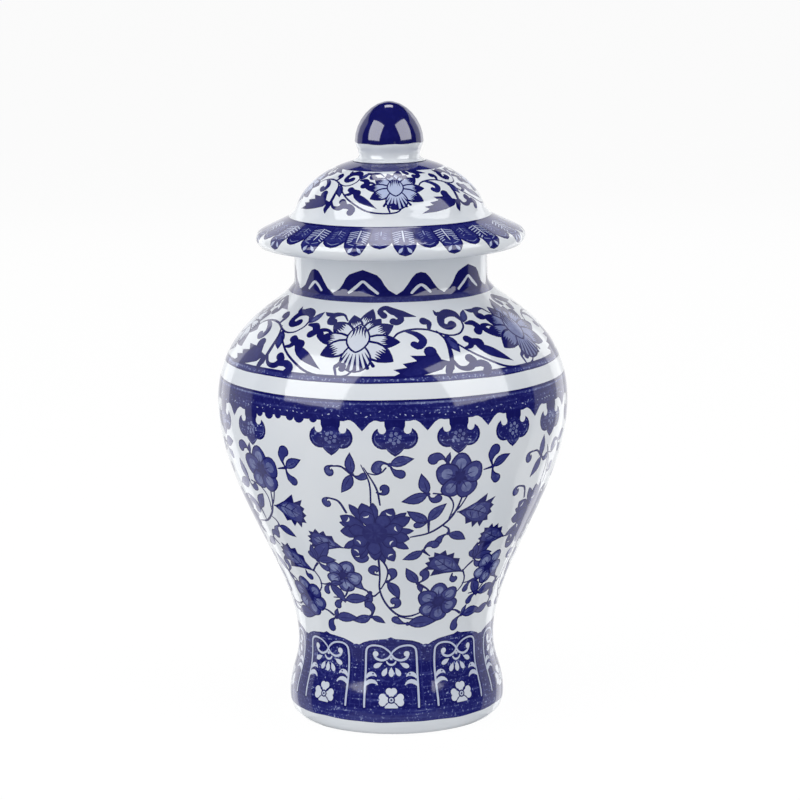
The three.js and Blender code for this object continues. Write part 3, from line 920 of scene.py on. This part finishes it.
def paint_brim(art):
    """A blue wash on the brim that ends in leaves, large and small by turns, with combed veins."""
    art.band(0.76, 198.2, 202.7, grain=0.3)
    art.band(LINE, 202.4, 203.0, waver=0.06, beat=6)
    step = 360 / BRIM_LEAVES
    for k in range(BRIM_LEAVES):
        middle = 6 + step * (k + 0.5)
        small = [(-5.6, 198.5), (-4.4, 197.5), (-2.4, 196.5), (0, 196.0)]
        small += [(-a, z) for a, z in small[-2::-1]]
        art.patch(LINE, [(middle + a, z) for a, z in small])
        art.patch(0.8, [(middle - 4.2, 199.4), (middle - 3.4, 197.5), (middle, 196.5), (middle + 3.4, 197.5),
                        (middle + 4.2, 199.4)], grain=0.3)
        art.trail(0.3, [(middle, 201.4), (middle, 200.2)], (0.6, 0.3))
        for side in (-1, 1):
            for j in range(4):
                z = 201.2 - 0.6 * j
                end = (middle + side * (3.2 - 0.2 * j), z - 0.4)
                art.trail(0.42, [(middle + side * 1.0, z), end], (0.4, 0.3))
        art.trail(0.36, [(middle - 2.8, 197.8), (middle, 197.2), (middle + 2.8, 197.8)], (0.25, 0.4, 0.25))
    for k in range(BRIM_LEAVES):
        middle = 6 + step * k
        half = [(6.0, 202.2), (5.9, 199.4), (5.4, 198.0), (4.7, 196.6), (3.5, 195.0), (2.5, 193.9),
                (0, 193.2)]
        large = [(middle - a, z) for a, z in half] + [(middle + a, z) for a, z in half[-2::-1]]
        art.patch(LINE, large)
        art.patch(0.8, [(middle + 0.86 * (a - middle), z + 0.3) for a, z in large], grain=0.3)
        art.trail(0.1, [(middle, 201.6), (middle, 199.9), (middle, 198.2)], (0.8, 0.7, 0.25))
        for side in (-1, 1):
            for j in range(6):
                z = 201.5 - 0.6 * j
                reach = 5.0 - 0.16 * j
                start = 1.1 if j < 4 else 2.4
                art.trail(0.14, [(middle + side * start, z), (middle + side * reach, z - 0.5)], (0.5, 0.42))
            art.trail(0.3, [(middle + side * 0.6, 197.2), (middle + side * 3.4, 197.7)], (0.3, 0.4))
            fan = petal(3.0, 1.3, 1.2, 0.7, 6)
            art.motif([(0.16, fan)], middle + side * 0.8, 196.6, turn=-90 + side * 38)
        art.trail(LINE, [(middle, 196.8), (middle, 194.4)], (0.4, 1.2))


def paint_dome(art):
    """A blue ring round the knob's landing and four repeats of the lotus scroll."""
    art.band(0.86, 222.2, 224.6, grain=0.3, waver=0.1, beat=4)
    for k in range(4):
        scroll_cell(art, 4 + 90 * k, 216.8, 0.7, 1.25, 0.16, LINE)


# ---------------------------------------------------------------- making meshes
def only(*objects):
    """Selects these objects and nothing else, the first one active."""
    bpy.ops.object.select_all(action="DESELECT")
    for each in objects:
        each.select_set(True)
    bpy.context.view_layer.objects.active = objects[0]


def spun(name, outline, ink=BARE):
    """An outline in mm turned into a surface of one colour with the spin tool."""
    mesh = bpy.data.meshes.new(name)
    spots = [(0.0, -p.real * MM, p.imag * MM) for p in outline]
    mesh.from_pydata(spots, [(k, k + 1) for k in range(len(spots) - 1)], [])
    piece = bpy.data.objects.new(name, mesh)
    bpy.context.collection.objects.link(piece)
    only(piece)
    bpy.ops.object.mode_set(mode="EDIT")
    bpy.ops.mesh.select_all(action="SELECT")
    bpy.ops.mesh.spin(steps=COLUMNS, angle=2 * np.pi, center=(0, 0, 0), axis=(0, 0, 1))
    bpy.ops.mesh.select_all(action="SELECT")
    bpy.ops.mesh.remove_doubles(threshold=2e-6)
    bpy.ops.object.mode_set(mode="OBJECT")
    count = len(piece.data.polygons)
    store(piece.data, "ink", [ink] * count)
    store(piece.data, "grain", [0.0] * count)
    return piece


def welded(name, pieces, outline):
    """Joins pieces into one closed surface and gives it the outline's own smooth normals."""
    only(*pieces)
    bpy.ops.object.join()
    piece = bpy.context.view_layer.objects.active
    piece.name = name
    piece.data.name = name
    bpy.ops.object.mode_set(mode="EDIT")
    bpy.ops.mesh.select_all(action="SELECT")
    bpy.ops.mesh.remove_doubles(threshold=4e-6)
    bpy.ops.mesh.dissolve_degenerate(threshold=1e-7)
    bpy.ops.mesh.normals_make_consistent(inside=False)
    bpy.ops.object.mode_set(mode="OBJECT")
    bpy.ops.object.shade_smooth()
    outline_normals(piece, outline)
    return piece


def outline_normals(piece, outline):
    """Sets each point's normal square to the outline it was turned from."""
    along = np.gradient(outline)
    normal = -1j * along / np.maximum(np.abs(along), 1e-9)
    tree = KDTree(len(outline))
    for k, p in enumerate(outline):
        tree.insert((p.real, p.imag, 0), k)
    tree.balance()
    mesh = piece.data
    spots = np.empty(len(mesh.vertices) * 3)
    mesh.vertices.foreach_get("co", spots)
    spots = spots.reshape(-1, 3) / MM
    radius = np.hypot(spots[:, 0], spots[:, 1])
    out = np.zeros_like(spots)
    for i, (r, z) in enumerate(zip(radius, spots[:, 2])):
        _, k, _ = tree.find((r, z, 0))
        p, q = outline[k], complex(r, z)
        ahead = ((q - p) * along[k].conjugate()).real > 0
        other = min(k + 1, len(outline) - 1) if ahead else max(k - 1, 0)
        share = min(1.0, abs(q - p) / max(abs(outline[other] - p), 1e-9))
        n = normal[k] * (1 - share) + normal[other] * share
        if r > 1e-3:
            out[i] = (n.real * spots[i, 0] / r, n.real * spots[i, 1] / r, n.imag)
        else:
            out[i] = (0, 0, np.sign(n.imag) or 1)
    out /= np.linalg.norm(out, axis=1)[:, None]
    mesh.normals_split_custom_set_from_vertices(out.tolist())


def dense(outline, pitch=0.25):
    """The outline with many more points, for reading normals from."""
    out = []
    for a, b in zip(outline, outline[1:]):
        count = max(1, int(abs(b - a) / pitch))
        out.append(a + (b - a) * np.arange(count) / count)
    return np.concatenate(out + [outline[-1:]])


def bare_clay(piece, low, high, inner, outer):
    """Gives the second material to faces between two heights and two radii, in mm."""
    for face in piece.data.polygons:
        c = face.center / MM
        if low < c.z < high and inner < (c.x**2 + c.y**2) ** 0.5 < outer:
            face.material_index = 1


# ---------------------------------------------------------------- materials
def add_node(tree, kind, settings=None, links=None):
    """Adds a shader node, with values for its properties or sockets and links into its sockets."""
    node = tree.nodes.new(kind)
    for key, value in (settings or {}).items():
        if isinstance(key, str) and hasattr(node, key):
            setattr(node, key, value)
        else:
            node.inputs[key].default_value = value
    for key, source in (links or {}).items():
        tree.links.new(source, node.inputs[key])
    return node


def fresh_material(name):
    """A new material with an empty node tree, and that tree."""
    material = bpy.data.materials.new(name)
    material.use_nodes = True
    material.node_tree.nodes.clear()
    return material, material.node_tree


def underglaze_painted_porcelain(name="underglaze_painted_porcelain", index=1.52):
    """White porcelain, painted with cobalt oxide and dipped in clear glaze: the glaze is a glassy skin, the
    cobalt lies under it, breaks up where the band was sponged on and pools darker in places."""
    c = bpy.context.scene.glaze_colours
    material, tree = fresh_material(name)
    place = add_node(tree, "ShaderNodeTexCoord").outputs["Object"]
    ink, grain = (
        add_node(tree, "ShaderNodeAttribute", {"attribute_name": key}).outputs["Fac"]
        for key in ("ink", "grain")
    )
    stretch = add_node(
        tree, "ShaderNodeMapping", {"Scale": (0.12, 0.12, 2.2)}, {"Vector": place}
    ).outputs["Vector"]
    # cloudy patterns, by the size of their patches in mm: pooled cobalt, brush marks, the sponge's pores, the
    # streaks of a turned brush, the cast of the glaze and the unevenness of its skin
    pooling, brush, sponge, streak, cast, skin = (
        add_node(
            tree, "ShaderNodeTexNoise", {"Scale": 1 / (size * MM), "Detail": detail, "Roughness": rough},
            {"Vector": source},
        ).outputs["Fac"]
        for size, detail, rough, source in (
            (9, 3.0, 0.6, place),
            (1.6, 2.0, 0.55, place),
            (0.9, 1.0, 0.5, place),
            (2.2, 2.0, 0.5, stretch),
            (40, 2.0, 0.5, place),
            (14, 2.0, 0.45, place),
        )
    )
    speck_cells = add_node(
        tree, "ShaderNodeTexVoronoi", {"Scale": 1 / (13 * MM), "Randomness": 1.0}, {"Vector": place}
    ).outputs["Distance"]
    # pale flecks and streaks where colour was sponged or banded on, a few iron specks, a breath of cobalt in
    # the white, and the polish of the glaze
    fleck, comb, speck, tint, polish = (
        add_node(
            tree, "ShaderNodeMapRange", {"From Min": start, "From Max": end, "To Min": low, "To Max": high},
            {"Value": source},
        ).outputs["Result"]
        for source, start, end, low, high in (
            (sponge, 0.56, 0.70, 0.0, 0.5),
            (streak, 0.50, 0.72, 0.0, 0.45),
            (speck_cells, 0.022, 0.045, 0.35, 0.0),
            (cast, 0.3, 0.7, 0.0, 0.22),
            (pooling, 0.3, 0.7, 0.05, 0.1),
        )
    )
    # cobalt is thinner or thicker by up to a fifth from place to place
    drift = add_node(tree, "ShaderNodeMath", {"operation": "MULTIPLY_ADD", 1: 0.55, 2: 0.72}, {0: pooling})
    flow = add_node(tree, "ShaderNodeMath", {"operation": "MULTIPLY_ADD", 1: 0.42, 2: -0.2}, {0: brush})
    varied = add_node(tree, "ShaderNodeMath", {"operation": "ADD"}, {0: drift.outputs[0], 1: flow.outputs[0]})
    body = add_node(tree, "ShaderNodeMath", {"operation": "MULTIPLY"}, {0: ink, 1: varied.outputs[0]})
    broken = add_node(tree, "ShaderNodeMath", {"operation": "ADD"}, {0: fleck, 1: comb})
    worn = add_node(tree, "ShaderNodeMath", {"operation": "MULTIPLY"}, {0: broken.outputs[0], 1: grain})
    density = add_node(
        tree, "ShaderNodeMath", {"operation": "SUBTRACT", "use_clamp": True},
        {0: body.outputs[0], 1: worn.outputs[0]},
    )
    ramp = add_node(tree, "ShaderNodeValToRGB", None, {"Fac": density.outputs[0]})
    stops = ramp.color_ramp.elements
    stops[0].position, stops[0].color = 0.0, (*c.ground, 1.0)
    stops[1].position, stops[1].color = 1.0, (*c.cobalt_line, 1.0)
    for position, colour in (
        (0.20, hex_colour("#a7b3d8")),
        (0.54, (*c.cobalt_wash, 1.0)),
        (0.80, hex_colour("#20226a")),
    ):
        stops.new(position).color = colour
    cool = add_node(
        tree, "ShaderNodeMix", {"data_type": "RGBA", "blend_type": "MULTIPLY", 7: hex_colour("#d9e4f2")},
        {0: tint, 6: ramp.outputs["Color"]},
    )
    speckled = add_node(
        tree, "ShaderNodeMix", {"data_type": "RGBA", 7: hex_colour("#5b5d74")}, {0: speck, 6: cool.outputs[2]}
    )
    bump = add_node(tree, "ShaderNodeBump", {"Strength": 0.12, "Distance": 0.0006}, {"Height": skin})
    shader = add_node(
        tree, "ShaderNodeBsdfPrincipled", {"Metallic": 0.0, "IOR": index},
        {"Base Color": speckled.outputs[2], "Roughness": polish, "Normal": bump.outputs["Normal"]},
    )
    add_node(tree, "ShaderNodeOutputMaterial", None, {"Surface": shader.outputs[0]})
    return material


def unglazed_biscuit():
    """Bare fired clay, wiped clean of glaze where it touches the kiln shelf or another piece: dull and
    slightly sandy, a little warmer than the glaze."""
    c = bpy.context.scene.glaze_colours
    material, tree = fresh_material("unglazed_biscuit")
    place = add_node(tree, "ShaderNodeTexCoord").outputs["Object"]
    sand = add_node(
        tree, "ShaderNodeTexNoise", {"Scale": 1 / (0.6 * MM), "Detail": 4.0, "Roughness": 0.65},
        {"Vector": place},
    ).outputs["Fac"]
    ramp = add_node(tree, "ShaderNodeValToRGB", None, {"Fac": sand})
    stops = ramp.color_ramp.elements
    stops[0].position, stops[0].color = 0.3, hex_colour("#c4b7a4")
    stops[1].position, stops[1].color = 0.7, (*c.biscuit, 1.0)
    rough = add_node(
        tree, "ShaderNodeMapRange", {"From Min": 0.3, "From Max": 0.7, "To Min": 0.75, "To Max": 0.95},
        {"Value": sand},
    ).outputs["Result"]
    bump = add_node(tree, "ShaderNodeBump", {"Strength": 0.35, "Distance": 0.0003}, {"Height": sand})
    shader = add_node(
        tree, "ShaderNodeBsdfPrincipled", {"Metallic": 0.0},
        {"Base Color": ramp.outputs["Color"], "Roughness": rough, "Normal": bump.outputs["Normal"]},
    )
    add_node(tree, "ShaderNodeOutputMaterial", None, {"Surface": shader.outputs[0]})
    return material


# ---------------------------------------------------------------- pieces
class JAR_OT_body(bpy.types.Operator):
    """Make the painted baluster body"""

    bl_idname = "jar.body"
    bl_label = "Jar Body"

    def execute(self, context):
        outside, inside, under = body_outline()
        art = Painting(Wall(outside))
        paint_foot(art)
        paint_belly(art)
        paint_ruyi(art)
        paint_shoulder(art)
        paint_neck(art)
        shell = bpy.data.objects.new("body_wall", art.mesh("body_wall"))
        context.collection.objects.link(shell)
        lining = spun("body_lining", inside)
        base = spun("body_base", under)
        piece = welded("porcelain_body", [shell, lining, base], dense(run(under, outside, inside)))
        piece.data.materials.append(underglaze_painted_porcelain())
        piece.data.materials.append(unglazed_biscuit())
        bare_clay(piece, -1, 0.25, 30, 42)
        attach(piece, "jar")
        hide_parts("jar_body")
        return {"FINISHED"}


class JAR_OT_lid(bpy.types.Operator):
    """Make the painted lid with its brim and locating flange"""

    bl_idname = "jar.lid"
    bl_label = "Lid"

    def execute(self, context):
        outside, top, inside = lid_outline()
        art = Painting(Wall(outside))
        paint_brim(art)
        paint_dome(art)
        shell = bpy.data.objects.new("lid_wall", art.mesh("lid_wall"))
        context.collection.objects.link(shell)
        socket = spun("lid_socket", top)
        lining = spun("lid_lining", inside)
        piece = welded("porcelain_lid", [shell, socket, lining], dense(run(inside, outside, top)))
        piece.data.materials.append(bpy.data.materials["underglaze_painted_porcelain"])
        piece.data.materials.append(bpy.data.materials["unglazed_biscuit"])
        seat = context.scene.lid_sizes.seat / MM
        bare_clay(piece, seat - 11, seat - 9.6, 28, 34)
        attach(piece, "lid")
        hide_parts("lid_cover")
        return {"FINISHED"}


KNOB_FOOT = KNOB_LOW.z / MM + 2.2  # height of the collar's foot, above the spigot
KNOB_WAIST = 11.8 + 1j * (KNOB_FOOT + 2.0)


def knob_outline():
    """The collar, with the slip that joins it to the lid, and the ball up to its tip, in mm."""
    foot = KNOB_FOOT
    ball_at = complex(bpy.context.scene.lid_sizes.knob_radius / MM, foot + 7.0)
    tip = 1j * KNOB_HIGH.z / MM
    collar = upright(KNOB_WAIST, ball_at, (2.0, 2.6), 16)
    crown = bezier(ball_at, ball_at + 7.8j, tip + 7.0, tip, 36)
    slip = arc(complex(14.6, foot + 2.4), 2.8, 270, 180, 6)
    return run(1j * foot, 5.0 + 1j * foot, slip, collar[1:], crown)


class JAR_OT_knob(bpy.types.Operator):
    """Make the cobalt knob and its white collar"""

    bl_idname = "jar.knob"
    bl_label = "Knob"

    def execute(self, context):
        outline = knob_outline()
        waist_at = int(np.argmin(np.abs(outline - KNOB_WAIST)))
        wall = Wall(outline[waist_at:-3])
        art = Painting(wall)
        # the blue starts above the collar at a dipped edge that is not quite level
        turn = np.radians(np.linspace(-180, 180, COLUMNS + 1))
        edge = wall.up(231.9) + 0.12 * np.sin(3 * turn) + 0.16 * np.sin(8 * turn + 1)
        top = np.full(len(turn), wall.reach - 0.02)
        art.lay(LINE, np.concatenate([turn, turn[::-1]]), np.concatenate([edge, top]))
        shell = bpy.data.objects.new("knob_wall", art.mesh("knob_wall"))
        context.collection.objects.link(shell)
        foot = spun("knob_foot", outline[: waist_at + 1])
        cap = spun("knob_cap", outline[-4:], LINE)
        piece = welded("cobalt_knob", [shell, foot, cap], dense(outline, 0.12))
        # the knob was dipped in a thick blue glaze that gives back more light than the clear one
        piece.data.materials.append(underglaze_painted_porcelain("thick_cobalt_glaze", 1.78))
        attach(piece, "lid")
        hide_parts("lid_knob")
        return {"FINISHED"}


# ---------------------------------------------------------------- stage
LIGHT_AIM = 0.14  # height that the lamps are turned to
CAMERA_PLACE, CAMERA_AIM = (0, -1.2, 0.35), (0, 0, 0.128)
CAMERA_ROLL = -0.014  # radians
# Name, azimuth, elevation, distance, size of the face, radiance, and what it gives
LAMPS = (
    ("left_softbox", -54, 22, 1.25, (1.2, 1.4), 2.05, "shade"),
    ("left_softbox_face", -54, 31, 1.25, (0.98, 1.05), 4.5, "gloss"),
    ("right_softbox", 60, 22, 1.25, (1.1, 1.4), 1.62, "shade"),
    ("right_softbox_face", 60, 31, 1.25, (1.0, 1.05), 4.1, "gloss"),
    ("top_strip", 180, 66, 1.3, (0.40, 0.26), 4.5, "gloss"),
    ("ceiling", 0, 90, 1.3, (2.2, 2.2), 1.14, "shade"),
    ("floor_bounce", 0, -90, 0.16, (3.0, 3.0), 0.76, "shade"),
    ("back_fill", 180, 30, 1.5, (1.4, 1.4), 0.6, "shade"),
    ("backdrop", 180, 0, 2.2, (4.5, 3.0), 1.1, "gloss"),
    ("left_wall", -128, 0, 2.0, (1.8, 3.0), 0.7, "gloss"),
    ("right_wall", 128, 0, 2.0, (1.8, 3.0), 0.8, "gloss"),
    ("front_floor", 0, -60, 0.9, (2.4, 1.6), 0.35, "gloss"),
)


def aimed(thing, target):
    """Turns a lamp or camera to face a point."""
    thing.rotation_euler = (Vector(target) - thing.location).to_track_quat("-Z", "Y").to_euler()


def soft_light(name, azimuth, elevation, distance, size, radiance, gives):
    """A rectangular lamp turned to the jar; azimuth 0 is the front and its radiance is that of its face.

    It gives either shade, which lights the surfaces, or gloss, which is what they mirror."""
    lamp = bpy.data.lights.new(name, "AREA")
    lamp.shape = "RECTANGLE"
    lamp.size, lamp.size_y = size
    lamp.energy = np.pi * size[0] * size[1] * radiance
    light = bpy.data.objects.new(name, lamp)
    bpy.context.collection.objects.link(light)
    a, e = np.radians(azimuth), np.radians(elevation)
    light.location = (
        distance * np.cos(e) * np.sin(a),
        -distance * np.cos(e) * np.cos(a),
        LIGHT_AIM + distance * np.sin(e),
    )
    aimed(light, (0, 0, LIGHT_AIM))
    light.visible_camera = False
    light.visible_diffuse = gives == "shade"
    light.visible_glossy = gives == "gloss"


class JAR_OT_stage(bpy.types.Operator):
    """Set out the pale floor, the soft lights and the camera"""

    bl_idname = "jar.stage"
    bl_label = "Stage"

    def execute(self, context):
        scene = context.scene
        bpy.ops.mesh.primitive_plane_add(size=24, location=(0, 0, -0.0002))
        floor = context.active_object
        floor.name = "studio_floor"
        material, tree = fresh_material("white_paper_sweep")
        paper = add_node(
            tree, "ShaderNodeBsdfPrincipled",
            {"Base Color": hex_colour("#404040"), "Roughness": 0.9, "Emission Color": hex_colour("#ffffff"),
             "Emission Strength": 0.96, "Specular IOR Level": 0.0},
        )
        add_node(tree, "ShaderNodeOutputMaterial", None, {"Surface": paper.outputs[0]})
        floor.data.materials.append(material)
        # the lamps below stand in for the light that the paper would give back
        floor.visible_diffuse = False
        floor.visible_glossy = False
        floor.visible_shadow = False
        for lamp in LAMPS:
            soft_light(*lamp)
        world = bpy.data.worlds.new("studio_air")
        world.use_nodes = True
        sky = world.node_tree.nodes["Background"].inputs
        sky["Color"].default_value = hex_colour("#f7faff")
        sky["Strength"].default_value = 0.03
        world.cycles_visibility.glossy = False
        scene.world = world
        scene.view_settings.view_transform = "Standard"
        lens = bpy.data.cameras.new("camera")
        lens.lens = 136.9
        lens.shift_x = 0.009
        lens.clip_end = 50
        camera = bpy.data.objects.new("camera", lens)
        context.collection.objects.link(camera)
        camera.location = CAMERA_PLACE
        aimed(camera, CAMERA_AIM)
        camera.rotation_euler.rotate_axis("Z", CAMERA_ROLL)
        scene.camera = camera
        return {"FINISHED"}


class JAR_PT_panel(bpy.types.Panel):
    """Lists the jar's pieces"""

    bl_label = "Temple Jar"
    bl_idname = "JAR_PT_panel"
    bl_space_type = "VIEW_3D"
    bl_region_type = "UI"
    bl_category = "Temple Jar"

    def draw(self, context):
        for group in ("jar_sizes", "lid_sizes", "glaze_colours"):
            settings = getattr(context.scene, group)
            for name in settings.bl_rna.properties.keys():
                if name not in ("rna_type", "name"):
                    self.layout.prop(settings, name)
        for operator in MAKERS:
            self.layout.operator(operator.bl_idname)


MAKERS = (JAR_OT_stage, JAR_OT_body, JAR_OT_lid, JAR_OT_knob)
CLASSES = (JarSizes, LidSizes, GlazeColours) + MAKERS + (JAR_PT_panel,)


def register():
    for each in CLASSES:
        bpy.utils.register_class(each)
    bpy.types.Scene.jar_sizes = PointerProperty(type=JarSizes)
    bpy.types.Scene.lid_sizes = PointerProperty(type=LidSizes)
    bpy.types.Scene.glaze_colours = PointerProperty(type=GlazeColours)


def unregister():
    del bpy.types.Scene.glaze_colours
    del bpy.types.Scene.lid_sizes
    del bpy.types.Scene.jar_sizes
    for each in reversed(CLASSES):
        bpy.utils.unregister_class(each)


def main():
    register()
    bpy.ops.jar.stage()
    bpy.ops.jar.body()
    bpy.ops.jar.lid()
    bpy.ops.jar.knob()


if __name__ == "__main__":
    main()
